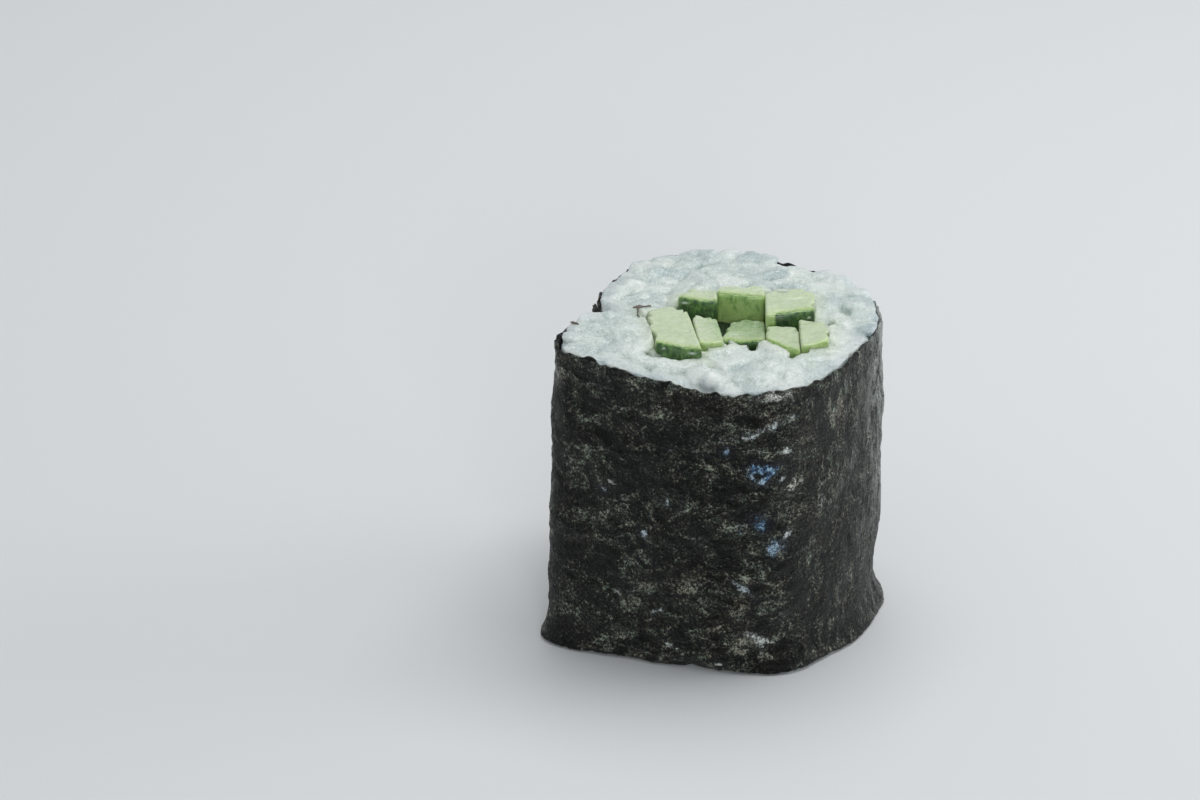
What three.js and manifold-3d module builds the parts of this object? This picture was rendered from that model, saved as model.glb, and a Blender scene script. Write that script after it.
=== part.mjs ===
// One piece of cucumber maki: a sheet of nori rolled round sushi rice, with batons of
// cucumber running through the middle. It stands on its lower cut face.
//
// Millimetres, +Z up. The origin lies on the ground under the middle of the piece, and
// the front is -Y. Angles are in degrees, anticlockwise from +X as seen from above.

import * as THREE from "three";
import { mergeVertices } from "three/addons/utils/BufferGeometryUtils.js";
import Module from "manifold-3d";

const { clamp, degToRad, euclideanModulo, lerp, radToDeg, smoothstep } = THREE.MathUtils;
const wasm = await Module();
wasm.setup();

// ---- The roll's form -------------------------------------------------------------

// The roll was pressed out of round: where each flattened side faces, and how far it
// lies from the roll's axis at the foot and at the top.
const SIDES = [
  { faces: 20, foot: 15.6, top: 16.2 },
  { faces: 60, foot: 15.4, top: 15.8 },
  { faces: 105, foot: 16.6, top: 16.9 },
  { faces: 160, foot: 12.8, top: 12.4 },
  { faces: 245, foot: 14.7, top: 13.3 },
  { faces: 290, foot: 16.2, top: 16.3 },
  { faces: 335, foot: 15.4, top: 14.4 },
];
const CORNER_SHARPNESS = 8; // an exponent: more makes the corners between sides tighter

// The sheet draws in a little above the ground, most of all on the side that WAIST.faces
// names. At its foot it kicks out, or in, by `out` over `spread` degrees to either side.
const WAIST = { faces: 0, height: 3.5, depth: 0.65, spread: 5.7 };
const KICKS = [
  { faces: 0, out: 0.9, spread: 45 },
  { faces: 200, out: 0.85, spread: 25 },
  { faces: 262, out: -0.75, spread: 14 },
  { faces: 295, out: 1.0, spread: 12 },
];
const KICK_HEIGHT = 1;
// A hollow near the upper edge, where the next piece of the roll pressed against it.
const HOLLOW = { faces: 168, depth: 0.9, spread: 12, height: 28.6, reach: 9 };
const RIPPLE = 0.1; // height of the slow ripples all over the sheet

// ---- Nori ------------------------------------------------------------------------

const SHEET = {
  thickness: 0.3,
  lowerEdge: 0.15, // clear of the ground, which the rice stands on
  upperEdge: 28.6,
  edgeWander: 0.15, // how far the cut edges stray up and down
};
// Where the knife left the upper edge higher or lower than the rest of it.
const UPPER_EDGE_SWELLS = [
  { faces: 206, rise: 0.45, spread: 16 },
  { faces: 264, rise: -0.5, spread: 19 },
  { faces: 20, rise: -0.35, spread: 30 },
  { faces: 105, rise: -0.45, spread: 45 },
];
const SEAM = {
  outerEnd: 150, // where the outer end of the sheet lies
  overlap: 42, // degrees that the two ends lap
  easing: 26, // degrees in which the outer layer comes down onto the rice
  gap: 0.1, // between the two layers
};
const SHEET_STEPS = 80; // along the sheet
const SHEET_ROWS = [0, 0.025, 0.055, 0.12, 0.21, 0.34, 0.54, 0.78, 1]; // up the sheet

// ---- Rice ------------------------------------------------------------------------

const RICE = {
  clearance: 0.15, // to the sheet round it and the cucumber inside it
  footLevel: 0.45, // packed rice between the grains of the lower face
  rimLevel: 28.3, // packed rice at the upper face, beside the sheet
  crownLevel: 28.6, // the same, round the cucumber
  crownReach: 9, // how far from the axis the crown goes
  rimReach: 15, // where it has come down to the rim's level
};
// Where the grains of the upper face stand higher or lower than the rest.
const RICE_SWELLS = [
  { x: -10.5, y: -1.5, rise: 0.5, spread: 3 },
  { x: -3.5, y: -8.5, rise: -0.5, spread: 3 },
  { x: 7.5, y: -8, rise: 0.35, spread: 2.5 },
  { x: 2.8, y: -4.5, rise: -0.35, spread: 1.3 },
  { x: -7.6, y: -3, rise: 0.6, spread: 2.2 },
  { x: -1.5, y: 6.3, rise: 0.7, spread: 2 },
  { x: 3, y: 6.8, rise: 0.7, spread: 2.2 },
  { x: 7.5, y: 5.8, rise: 0.7, spread: 2.2 },
];
const GRAIN = { length: 5.4, width: 2.5, height: 2.1, unevenness: 0.14 };
const GRAIN_SIDES = 6;
const GRAIN_RINGS = 4;
const UPPER_GRAINS = { count: 150, sink: 0.5, stray: 0.25, pitch: 18 };
const LOWER_GRAINS = { count: 115, sink: 0.1, stray: 0.2, pitch: 14 };
const SEED = 11;

// ---- Cucumber --------------------------------------------------------------------

// Batons of cucumber, with the skin on the side that faces the front. Each has its
// middle, its width at the skin and at the core of the cucumber, its depth from the one
// to the other, how far its skin side is cut aslant, the way that side faces, and the
// level of its upper end.
const BATONS = [
  { x: -1.8, y: 2.9, skin: 3.5, core: 3.5, depth: 2.6, aslant: 0.5, faces: 270, top: 30.2 },
  { x: 2.2, y: 3.6, skin: 4.3, core: 4.3, depth: 2.2, aslant: 0.3, faces: 270, top: 30.3 },
  { x: 6.7, y: 1.6, skin: 4.45, core: 4.45, depth: 4.8, aslant: -0.4, faces: 270, top: 30.2 },
  { x: -0.95, y: -2.4, skin: 2.2, core: 2, depth: 6.2, aslant: 0, faces: 277, top: 29.4 },
  { x: 2.6, y: -0.8, skin: 4.1, core: 2.8, depth: 5.2, aslant: 0.1, faces: 263, top: 28.4 },
  { x: 5.95, y: -3.75, skin: 2.85, core: 2.95, depth: 4.4, aslant: 1.2, faces: 271, top: 29.1 },
  { x: 8.85, y: -3.6, skin: 2.4, core: 2.7, depth: 5.2, aslant: -0.5, faces: 270, top: 29.6 },
  { x: -4.25, y: -2.75, skin: 3.85, core: 3.9, depth: 8.2, aslant: 1.1, faces: 279, top: 29.6 },
];
const SKIN_BULGE = 0.25; // the skin side is a piece of the cucumber's round
const BATON_CORNER = 0.3;
const HOLE_CLEARANCE = 0.18; // rice to cucumber, so that batons side by side share a hole
const HEADROOM = 4; // how far cutting shapes go past the cut faces

// ---- Materials -------------------------------------------------------------------

const NORI = new THREE.MeshStandardMaterial({ color: 0x252726, roughness: 0.55 });
const COOKED_RICE = new THREE.MeshStandardMaterial({ color: 0xd5dedb, roughness: 0.4 });
const CUCUMBER = new THREE.MeshStandardMaterial({ color: 0xb9cca8, roughness: 0.35 });

// ---- Form of the roll ------------------------------------------------------------

// How far the outer face of a single layer of nori lies from the axis.
function rollRadius(angle, z) {
  const rise = clamp(z / SHEET.upperEdge, 0, 1);
  let pressed = 0;
  for (const side of SIDES) {
    const facing = Math.max(Math.cos(degToRad(angle - side.faces)), 0);
    pressed += (facing / lerp(side.foot, side.top, rise)) ** CORNER_SHARPNESS;
  }
  const round = pressed ** (-1 / CORNER_SHARPNESS);
  return round + footForm(angle, z) - hollow(angle, z) + ripple(angle, z);
}

// A smooth hump: 1 in its middle, falling to almost 0 at twice its spread.
function hump(offset, spread) {
  return Math.exp(-((offset / spread) ** 2));
}

function degreesBetween(a, b) {
  return Math.abs(euclideanModulo(a - b + 180, 360) - 180);
}

// The waist just above the ground, and where the sheet kicks out or in below it.
function footForm(angle, z) {
  const towards = (1 + Math.cos(degToRad(angle - WAIST.faces))) / 2;
  const waist = WAIST.depth * hump(z - WAIST.height, WAIST.spread) * towards;
  let kick = 0;
  for (const { faces, out, spread } of KICKS) {
    kick += out * hump(degreesBetween(angle, faces), spread);
  }
  return kick * hump(z, KICK_HEIGHT) - waist;
}

function hollow(angle, z) {
  const across = hump(degreesBetween(angle, HOLLOW.faces), HOLLOW.spread);
  return HOLLOW.depth * across * hump(z - HOLLOW.height, HOLLOW.reach);
}

function ripple(angle, z) {
  const a = degToRad(angle);
  return (
    RIPPLE * Math.sin(5 * a + 0.42 * z) * Math.cos(0.31 * z - 2 * a) +
    0.6 * RIPPLE * Math.sin(9 * a - 0.55 * z)
  );
}

// How far a cut edge of the sheet strays from its level.
function edgeWander(angle, phase) {
  const a = degToRad(angle);
  return SHEET.edgeWander * (0.6 * Math.sin(3 * a + phase) + 0.4 * Math.sin(7 * a - phase));
}

function lowerEdge(angle) {
  return SHEET.lowerEdge + Math.abs(edgeWander(angle, 1));
}

function upperEdge(angle) {
  let level = SHEET.upperEdge + edgeWander(angle, 2);
  for (const { faces, rise, spread } of UPPER_EDGE_SWELLS) {
    level += rise * hump(degreesBetween(angle, faces), spread);
  }
  return level;
}

// ---- Solids ----------------------------------------------------------------------

function geometryFrom(positions, index) {
  const geometry = new THREE.BufferGeometry();
  geometry.setAttribute("position", new THREE.Float32BufferAttribute(positions, 3));
  geometry.setIndex(index);
  geometry.computeVertexNormals();
  return geometry;
}

function toManifold(geometry) {
  const bare = geometry.clone();
  bare.deleteAttribute("uv");
  bare.deleteAttribute("normal");
  const merged = mergeVertices(bare, 1e-4);
  const mesh = new wasm.Mesh({
    numProp: 3,
    vertProperties: merged.getAttribute("position").array,
    triVerts: new Uint32Array(merged.index.array),
  });
  return new wasm.Manifold(mesh);
}

function fromManifold(solid) {
  const mesh = solid.getMesh();
  return geometryFrom([...mesh.vertProperties], [...mesh.triVerts]);
}

// A closed thin solid. place(u, v, face) gives the point at u along and v up the sheet,
// on its inner face (0) or its outer face (1).
function thinSolid(place, along, rows) {
  const up = rows.length - 1;
  const positions = [];
  const index = [];
  const at = (i, j, face) => (face * (up + 1) + j) * (along + 1) + i;
  const quad = (a, b, c, d) => index.push(a, b, c, a, c, d);

  for (const face of [0, 1]) {
    for (const row of rows) {
      for (let i = 0; i <= along; i++) positions.push(...place(i / along, row, face));
    }
  }
  for (let i = 0; i < along; i++) {
    for (let j = 0; j < up; j++) {
      quad(at(i, j, 1), at(i + 1, j, 1), at(i + 1, j + 1, 1), at(i, j + 1, 1));
      quad(at(i, j, 0), at(i, j + 1, 0), at(i + 1, j + 1, 0), at(i + 1, j, 0));
    }
    quad(at(i, 0, 0), at(i + 1, 0, 0), at(i + 1, 0, 1), at(i, 0, 1));
    quad(at(i, up, 1), at(i + 1, up, 1), at(i + 1, up, 0), at(i, up, 0));
  }
  for (let j = 0; j < up; j++) {
    quad(at(0, j, 0), at(0, j, 1), at(0, j + 1, 1), at(0, j + 1, 0));
    quad(at(along, j, 1), at(along, j, 0), at(along, j + 1, 0), at(along, j + 1, 1));
  }
  return geometryFrom(positions, index);
}

// A solid of revolution about Z from [radius, height] pairs that start and end on it.
function turned(profile, segments) {
  const points = profile.map(([radius, height]) => new THREE.Vector2(radius, height));
  return new THREE.LatheGeometry(points, segments).rotateX(Math.PI / 2);
}

// ---- Nori ------------------------------------------------------------------------

// The sheet starts at its outer end, passes once round the roll and ends underneath.
function noriSheet() {
  const { thickness } = SHEET;
  const turn = 360 + SEAM.overlap;
  const place = (u, v, face) => {
    const travelled = u * turn;
    const angle = SEAM.outerEnd + travelled;
    const z = lerp(lowerEdge(angle), upperEdge(angle), v);
    const landing = smoothstep(travelled, SEAM.overlap, SEAM.overlap + SEAM.easing);
    const lift = (thickness + SEAM.gap) * (1 - landing);
    const radius = rollRadius(angle, z) + lift - thickness * (1 - face);
    const a = degToRad(angle);
    return [radius * Math.cos(a), radius * Math.sin(a), z];
  };
  return thinSolid(place, SHEET_STEPS, SHEET_ROWS);
}

// ---- Cucumber --------------------------------------------------------------------

// A baton's footprint, with its skin side at +X, grown on every side by a margin.
function batonShape({ skin, core, depth, aslant }, margin = 0) {
  const inner = -depth / 2 - margin;
  const outer = depth / 2 + margin;
  const corners = [
    { x: inner, y: -core / 2 - margin, reach: BATON_CORNER },
    { x: outer - aslant, y: -skin / 2 - margin, reach: BATON_CORNER },
    { x: outer + SKIN_BULGE, y: 0, reach: skin / 4 },
    { x: outer + aslant, y: skin / 2 + margin, reach: BATON_CORNER },
    { x: inner, y: core / 2 + margin, reach: BATON_CORNER },
  ];
  const point = ({ x, y }) => new THREE.Vector2(x, y);
  const shape = new THREE.Shape();
  corners.forEach((corner, i) => {
    const here = point(corner);
    const before = point(corners.at(i - 1)).sub(here).setLength(corner.reach).add(here);
    const after = point(corners[(i + 1) % corners.length]);
    after.sub(here).setLength(corner.reach).add(here);
    if (i === 0) shape.moveTo(before.x, before.y);
    else shape.lineTo(before.x, before.y);
    shape.quadraticCurveTo(here.x, here.y, after.x, after.y);
  });
  shape.closePath();
  return shape;
}

function batonSolid(baton, { margin = 0, bottom = 0, top = baton.top } = {}) {
  return new THREE.ExtrudeGeometry(batonShape(baton, margin), {
    depth: top - bottom,
    bevelEnabled: false,
    curveSegments: 3,
  })
    .rotateZ(degToRad(baton.faces))
    .translate(baton.x, baton.y, bottom);
}

// True where a point of the plan lies in a baton's footprint or within a margin of it.
function inCucumber(x, y, margin) {
  return BATONS.some((baton) => {
    const a = degToRad(baton.faces);
    const dx = x - baton.x;
    const dy = y - baton.y;
    const inwards = Math.abs(dx * Math.cos(a) + dy * Math.sin(a));
    const across = Math.abs(dy * Math.cos(a) - dx * Math.sin(a));
    return inwards < baton.depth / 2 + margin && across < baton.skin / 2 + margin;
  });
}

// ---- Rice ------------------------------------------------------------------------

// A repeatable source of numbers from 0 to 1 (mulberry32).
function randomSource(seed) {
  let state = seed;
  return () => {
    state = (state + 0x6d2b79f5) | 0;
    let t = Math.imul(state ^ (state >>> 15), 1 | state);
    t = (t + Math.imul(t ^ (t >>> 7), 61 | t)) ^ t;
    return ((t ^ (t >>> 14)) >>> 0) / 4294967296;
  };
}

// All the room inside the sheet, from the ground up past the upper grains.
function insideOfSheet() {
  const rows = SHEET_ROWS.slice(1).map((row) => lerp(SHEET.lowerEdge, SHEET.upperEdge, row));
  const levels = [0, ...rows, SHEET.upperEdge + HEADROOM];
  const profile = [[0, 0], ...levels.map((z) => [1, z]), [0, levels.at(-1)]];
  const room = turned(profile, SHEET_STEPS);
  const position = room.getAttribute("position");
  for (let i = 0; i < position.count; i++) {
    const [x, y, z] = [position.getX(i), position.getY(i), position.getZ(i)];
    if (Math.hypot(x, y) < 0.5) continue;
    const angle = radToDeg(Math.atan2(y, x));
    const wall = rollRadius(angle, z) - SHEET.thickness - RICE.clearance;
    position.setXY(i, x * wall, y * wall);
  }
  return toManifold(room);
}

// The packed rice between the grains, lower at the rim than round the cucumber.
function packedRice() {
  const { footLevel, rimLevel, crownLevel, crownReach, rimReach } = RICE;
  const outside = rimReach + 5;
  const profile = [
    [0, footLevel],
    [outside, footLevel],
    [outside, rimLevel],
    [rimReach, rimLevel],
    [crownReach, crownLevel],
    [0, crownLevel],
  ];
  return toManifold(turned(profile, 24));
}

function upperLevel(x, y) {
  const distance = Math.hypot(x, y);
  const fall = smoothstep(distance, RICE.crownReach, RICE.rimReach);
  let level = lerp(RICE.crownLevel, RICE.rimLevel, fall);
  for (const swell of RICE_SWELLS) {
    level += swell.rise * hump(Math.hypot(x - swell.x, y - swell.y), swell.spread);
  }
  return level;
}

function lowerLevel() {
  return RICE.footLevel;
}

function grain(random) {
  const size = () => 1 + GRAIN.unevenness * (2 * random() - 1);
  return new THREE.SphereGeometry(1, GRAIN_SIDES, GRAIN_RINGS).scale(
    (GRAIN.width / 2) * size(),
    (GRAIN.length / 2) * size(),
    (GRAIN.height / 2) * size(),
  );
}

// Grains spread evenly over one cut face, sunk in the packed rice by part of their
// height. They turn every way and pitch a little.
function grainsOn(face, levelAt, outwards, random) {
  const goldenAngle = 137.508;
  const grains = [];
  for (let i = 0; i < face.count; i++) {
    const angle = i * goldenAngle + 10 * random();
    const reach = rollRadius(angle, levelAt(0, 0)) - GRAIN.width / 2;
    const distance = reach * Math.sqrt((i + 0.5) / face.count);
    const x = distance * Math.cos(degToRad(angle));
    const y = distance * Math.sin(degToRad(angle));
    const pitch = degToRad(face.pitch * (2 * random() - 1));
    const heading = Math.PI * random();
    const stray = face.stray * (2 * random() - 1);
    const z = levelAt(x, y) + outwards * (stray - face.sink);
    const made = grain(random).rotateX(pitch).rotateZ(heading).translate(x, y, z);
    if (!inCucumber(x, y, GRAIN.width / 3)) grains.push(toManifold(made));
  }
  return grains;
}

function riceSolid() {
  const random = randomSource(SEED);
  const upper = grainsOn(UPPER_GRAINS, upperLevel, 1, random);
  const lower = grainsOn(LOWER_GRAINS, lowerLevel, -1, random);
  const packed = wasm.Manifold.union([packedRice(), ...upper, ...lower]);
  const hole = { margin: HOLE_CLEARANCE, bottom: -HEADROOM, top: SHEET.upperEdge + HEADROOM };
  const holes = BATONS.map((baton) => toManifold(batonSolid(baton, hole)));
  const cut = packed.intersect(insideOfSheet()).subtract(wasm.Manifold.union(holes));
  const [largest] = cut.decompose().sort((a, b) => b.volume() - a.volume());
  return fromManifold(largest);
}

// ---- The piece -------------------------------------------------------------------

function part(name, geometry, material) {
  const mesh = new THREE.Mesh(geometry, material);
  mesh.name = name;
  return mesh;
}

const piece = new THREE.Group();
piece.add(part("nori", noriSheet(), NORI));
piece.add(part("rice", riceSolid(), COOKED_RICE));
BATONS.forEach((baton, i) => {
  piece.add(part(`cucumber_${i + 1}`, batonSolid(baton), CUCUMBER));
});

// The axis of the roll isn't the middle of its box, because the roll is out of round.
const box = new THREE.Box3().setFromObject(piece);
const middle = box.getCenter(new THREE.Vector3());
piece.position.set(-middle.x, -middle.y, -box.min.z);

export default piece;
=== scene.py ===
"""Looks for one piece of cucumber maki: nori rolled round sushi rice and cucumber batons.

Lengths in the constants are millimetres in the roll's own plan, whose origin is the
roll's axis at the ground. Meshes are made in millimetres and stored in metres, in the
row frame.
"""

import math

import bpy
import numpy as np
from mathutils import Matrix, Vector, kdtree


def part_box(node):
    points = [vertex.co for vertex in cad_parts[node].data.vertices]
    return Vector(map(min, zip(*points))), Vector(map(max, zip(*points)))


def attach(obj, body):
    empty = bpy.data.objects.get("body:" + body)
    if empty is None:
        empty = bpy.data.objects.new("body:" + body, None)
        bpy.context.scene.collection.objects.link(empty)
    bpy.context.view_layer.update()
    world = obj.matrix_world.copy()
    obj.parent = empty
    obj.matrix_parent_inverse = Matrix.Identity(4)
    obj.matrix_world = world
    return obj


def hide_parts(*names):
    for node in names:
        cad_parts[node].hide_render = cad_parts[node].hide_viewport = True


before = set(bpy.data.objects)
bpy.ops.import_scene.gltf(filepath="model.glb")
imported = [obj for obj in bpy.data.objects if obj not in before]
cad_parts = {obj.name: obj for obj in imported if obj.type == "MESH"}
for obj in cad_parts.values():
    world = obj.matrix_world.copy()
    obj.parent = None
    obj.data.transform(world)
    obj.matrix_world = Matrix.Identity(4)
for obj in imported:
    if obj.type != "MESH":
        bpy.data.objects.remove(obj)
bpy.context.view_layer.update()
scene = bpy.context.scene
MM = 0.001

# ---- The roll's form, as in the part ----

SIDES = (  # faces, foot, top
    (20, 15.6, 16.2), (60, 15.4, 15.8), (105, 16.6, 16.9), (160, 12.8, 12.4),
    (245, 14.7, 13.3), (290, 16.2, 16.3), (335, 15.4, 14.4),
)
CORNER_SHARPNESS = 8
WAIST_HEIGHT, WAIST_DEPTH, WAIST_SPREAD = 3.5, 0.65, 5.7
KICKS = ((0, 0.9, 45), (200, 0.85, 25), (262, -0.75, 14), (295, 1.0, 12))  # faces, out, spread
KICK_HEIGHT = 1.0
HOLLOW_FACES, HOLLOW_DEPTH, HOLLOW_SPREAD, HOLLOW_HEIGHT, HOLLOW_REACH = 168, 0.9, 12, 28.6, 9
SHEET_THICKNESS = 0.3
LOWER_EDGE, UPPER_EDGE, EDGE_WANDER = 0.15, 28.6, 0.15
SWELLS = (  # of the upper edge: faces, rise, spread
    (206, 0.45, 16), (264, -0.5, 19), (20, -0.35, 30), (105, -0.45, 45),
)
SEAM_START, SEAM_OVERLAP, SEAM_EASING, SEAM_GAP = 150, 42, 26, 0.1
SEAM_CORNER = 0.9  # how much lower the outer end's upper corner is
CRINKLE_DEPTH = 0.16
SHEET_STEPS = 80
SHEET_ROWS = (0, 0.025, 0.055, 0.12, 0.21, 0.34, 0.54, 0.78, 1)
GIRTH = 94  # once round the sheet
MID_HEIGHT = 20  # parts what belongs to the upper face from the rest

RICE_SWELLS = (  # of the cut through the rice: x, y, rise, spread
    (-10.5, -1.5, 0.5, 3), (-3.5, -8.5, -0.5, 3), (7.5, -8, 0.35, 2.5),
    (2.8, -4.5, -0.35, 1.3), (-7.6, -3, 0.6, 2.2), (-1.5, 6.3, 0.7, 2),
    (3, 6.8, 0.7, 2.2), (7.5, 5.8, 0.7, 2.2),
)

# x, y, width at the skin, width at the core, depth, aslant, faces, top
BATONS = (
    (-1.8, 2.9, 3.5, 3.5, 2.6, 0.5, 270, 30.2),
    (2.2, 3.6, 4.3, 4.3, 2.2, 0.3, 270, 30.3),
    (6.7, 1.6, 4.45, 4.45, 4.8, -0.4, 270, 30.2),
    (-0.95, -2.4, 2.2, 2, 6.2, 0, 277, 29.4),
    (2.6, -0.8, 4.1, 2.8, 5.2, 0.1, 263, 28.4),
    (5.95, -3.75, 2.85, 2.95, 4.4, 1.2, 271, 29.1),
    (8.85, -3.6, 2.4, 2.7, 5.2, -0.5, 270, 29.6),
    (-4.25, -2.75, 3.85, 3.9, 8.2, 1.1, 279, 29.6),
)
# How each baton was cut from the cucumber: green of its flesh at the core and beside the
# skin (0 pale, 1 green) and how much greener it is at the right, where across its outer
# side the skin begins (-1 left end), how light the skin is at the cut and how much lighter
# it is 3 mm below, as painted shade, mostly darker going down between the parts.
CUTS = (
    (0.15, 0.3, 0, -2, 0.3, -0.35), (0.1, 0.25, 0, -2, 0.88, 0.22),
    (0.2, 0.35, 0, -0.62, 0.1, -0.2), (0.45, 0.4, 0.4, 2, 0.4, -0.2),
    (1, 0.7, 0.15, -2, 0.2, -0.3), (0.25, 0.3, 0, -2, 1.2, 0),
    (0.3, 0.25, 0, 2, 0.7, 0), (0.15, 0.3, 0, -2, 0.3, -0.1),
)
# Wet glints on the skins: baton, place along its skin, height, half length.
GLINTS = ((1, -1.2, 29.8, 0.3), (8, 1.1, 29.15, 0.28), (3, 1.7, 29.6, 0.12), (8, -1.3, 29.2, 0.1))
DRAWN_FULLER = 0.04  # batons press against each other and the rice
FOOT_ROUNDING = 0.1
SKIN_BULGE = 0.25
BATON_CORNER = 0.3
TOP_ROUNDING = ((0.3, 0), (0.18, 0.02), (0.08, 0.07), (0.02, 0.14))  # below the top, inset
NIBBLED_HEIGHT = 2
TOUCHING = (-0.9, -0.4)  # depths in a baton's footprint, from clear of it to against it


def smoothstep(x, low, high):
    """From 0 at low to 1 at high; low may be the larger of the two."""
    t = np.clip((np.asarray(x, float) - low) / (high - low), 0, 1)
    return t * t * (3 - 2 * t)


def hump(offset, spread):
    return np.exp(-((offset / spread) ** 2))


def degrees_between(a, b):
    return np.abs((np.asarray(a, float) - b + 180) % 360 - 180)


def roll_radius(angle, z):
    """Outer face of a single layer of nori, from the axis."""
    a = np.radians(angle)
    rise = np.clip(z / UPPER_EDGE, 0, 1)
    pressed = 0
    for faces, foot, top in SIDES:
        facing = np.maximum(np.cos(np.radians(angle - faces)), 0)
        pressed = pressed + (facing / (foot + (top - foot) * rise)) ** CORNER_SHARPNESS
    towards = (1 + np.cos(a)) / 2
    waist = WAIST_DEPTH * hump(z - WAIST_HEIGHT, WAIST_SPREAD) * towards
    kick = sum(out * hump(degrees_between(angle, faces), spread) for faces, out, spread in KICKS)
    ripple = 0.1 * np.sin(5 * a + 0.42 * z) * np.cos(0.31 * z - 2 * a)
    ripple += 0.06 * np.sin(9 * a - 0.55 * z)
    hollow = HOLLOW_DEPTH * hump(degrees_between(angle, HOLLOW_FACES), HOLLOW_SPREAD)
    hollow = hollow * hump(z - HOLLOW_HEIGHT, HOLLOW_REACH)
    kicked = kick * hump(z, KICK_HEIGHT)
    return pressed ** (-1 / CORNER_SHARPNESS) + kicked - hollow - waist + ripple


def angle_of(points):
    return np.degrees(np.arctan2(points[:, 1], points[:, 0]))


def is_upper(points):
    return points[:, 2] > MID_HEIGHT


def edge_wander(angle, phase):
    a = np.radians(angle)
    return EDGE_WANDER * (0.6 * np.sin(3 * a + phase) + 0.4 * np.sin(7 * a - phase))


def upper_edge(angle):
    swell = sum(rise * hump(degrees_between(angle, faces), spread) for faces, rise, spread in SWELLS)
    return UPPER_EDGE + edge_wander(angle, 2) + swell


def sheet_point(travelled, v):
    """A point of the sheet: travelled degrees from its outer end, v up it."""
    angle = SEAM_START + travelled
    low = LOWER_EDGE + np.abs(edge_wander(angle, 1))
    z = low + (upper_edge(angle) - low) * v
    landing = smoothstep(travelled, SEAM_OVERLAP, SEAM_OVERLAP + SEAM_EASING)
    lift = (SHEET_THICKNESS + SEAM_GAP) * (1 - landing)
    radius = roll_radius(angle, z) + lift
    a = np.radians(angle)
    return radius * np.cos(a), radius * np.sin(a), z


def plan_shift():
    """From the roll's axis to the row's origin, found from the sheet's box."""
    turn = np.linspace(0, 360 + SEAM_OVERLAP, SHEET_STEPS + 1)
    travelled, v = np.meshgrid(turn, SHEET_ROWS)
    x, y, _ = sheet_point(travelled, v)
    low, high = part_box("nori")
    plan = [(low[i] + high[i]) / 2 / MM - (a.min() + a.max()) / 2 for i, a in enumerate((x, y))]
    return np.array([*plan, 0.0])


SHIFT = plan_shift()

# ---- Camera ----

CAMERA_ELEVATION = 25.8
CAMERA_DISTANCE = 750
SENSOR_WIDTH = 36
VIEW_WIDTH = 110.9  # what the photograph's width spans at the roll
VIEW_CENTRE = (-10.8, 0.0, 20.75)  # what lies in the middle of the photograph


def add_camera():
    data = bpy.data.cameras.new("camera")
    data.sensor_width = SENSOR_WIDTH
    data.lens = SENSOR_WIDTH * CAMERA_DISTANCE / VIEW_WIDTH
    data.clip_start, data.clip_end = 0.01, 10
    camera = bpy.data.objects.new("camera", data)
    scene.collection.objects.link(camera)
    e = math.radians(CAMERA_ELEVATION)
    target = Vector((np.array(VIEW_CENTRE) + SHIFT) * MM)
    back = Vector((0, -math.cos(e), math.sin(e))) * CAMERA_DISTANCE * MM
    camera.location = target + back
    camera.rotation_euler = (math.pi / 2 - e, 0, 0)
    scene.camera = camera


add_camera()

# ---- Mesh helpers ----


def new_mesh(name, points, faces):
    """A mesh from points in the roll's plan, in millimetres."""
    mesh = bpy.data.meshes.new(name)
    mesh.from_pydata(((np.asarray(points) + SHIFT) * MM).tolist(), [], faces)
    mesh.polygons.foreach_set("use_smooth", [True] * len(mesh.polygons))
    mesh.update()
    return mesh


def add_object(mesh, material):
    obj = bpy.data.objects.new(mesh.name, mesh)
    scene.collection.objects.link(obj)
    mesh.materials.append(material)
    return obj


def values_of(items, key, width=1, kind=np.float32):
    values = np.empty(len(items) * width, kind)
    items.foreach_get(key, values)
    return values


def set_layers(mesh, **layers):
    """Stores a number at every point under each name, for the materials."""
    for name, values in layers.items():
        layer = mesh.attributes.new(name, "FLOAT", "POINT")
        layer.data.foreach_set("value", np.asarray(values, np.float32))


def grid_faces(columns, rows, start=0, flip=False, closed=False):
    """Quads of a grid whose points are stored row by row."""
    last = columns if closed else columns - 1
    i, j = np.meshgrid(np.arange(last), np.arange(rows - 1))
    a = start + j * columns + i
    b = start + j * columns + (i + 1) % columns
    quads = np.stack([a, b, b + columns, a + columns], axis=-1).reshape(-1, 4)
    return quads[:, ::-1] if flip else quads


def fan(start, count, centre):
    """Triangles from a ring of points to its centre."""
    return [[start + i, start + (i + 1) % count, centre] for i in range(count)]


class Waves:
    """Smooth noise in space: a sum of plane waves with wavelengths near a given size."""

    def __init__(self, size, seed, count=40):
        rng = np.random.default_rng(seed)
        way = rng.normal(size=(count, 3))
        way /= np.linalg.norm(way, axis=1)[:, None]
        self.k = way * (2 * np.pi / size) * rng.uniform(0.6, 1.4, count)[:, None]
        self.phase = rng.uniform(0, 2 * np.pi, count)
        self.scale = math.sqrt(2 / count)

    def __call__(self, points):
        total = np.zeros(len(points))
        for k, phase in zip(self.k, self.phase):
            total += np.sin(points @ k + phase)
        return total * self.scale


# ---- Nori ----


def oval(da, dz, turn, length, width, bend=0):
    """A soft oval on the unrolled sheet: 1 in its middle, 0 away from it."""
    along = da * math.cos(turn) + dz * math.sin(turn)
    across = dz * math.cos(turn) - da * math.sin(turn) - bend * along ** 2
    return np.exp(-((along / length) ** 2 + (across / width) ** 2))


GRAIN_BUMPS, CREASES = 330, 120  # how many show in the sheet
BACK_RIM_DROP, FRONT_TAB = 0.17, 0.3  # its upper edge is lower or higher there


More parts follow.
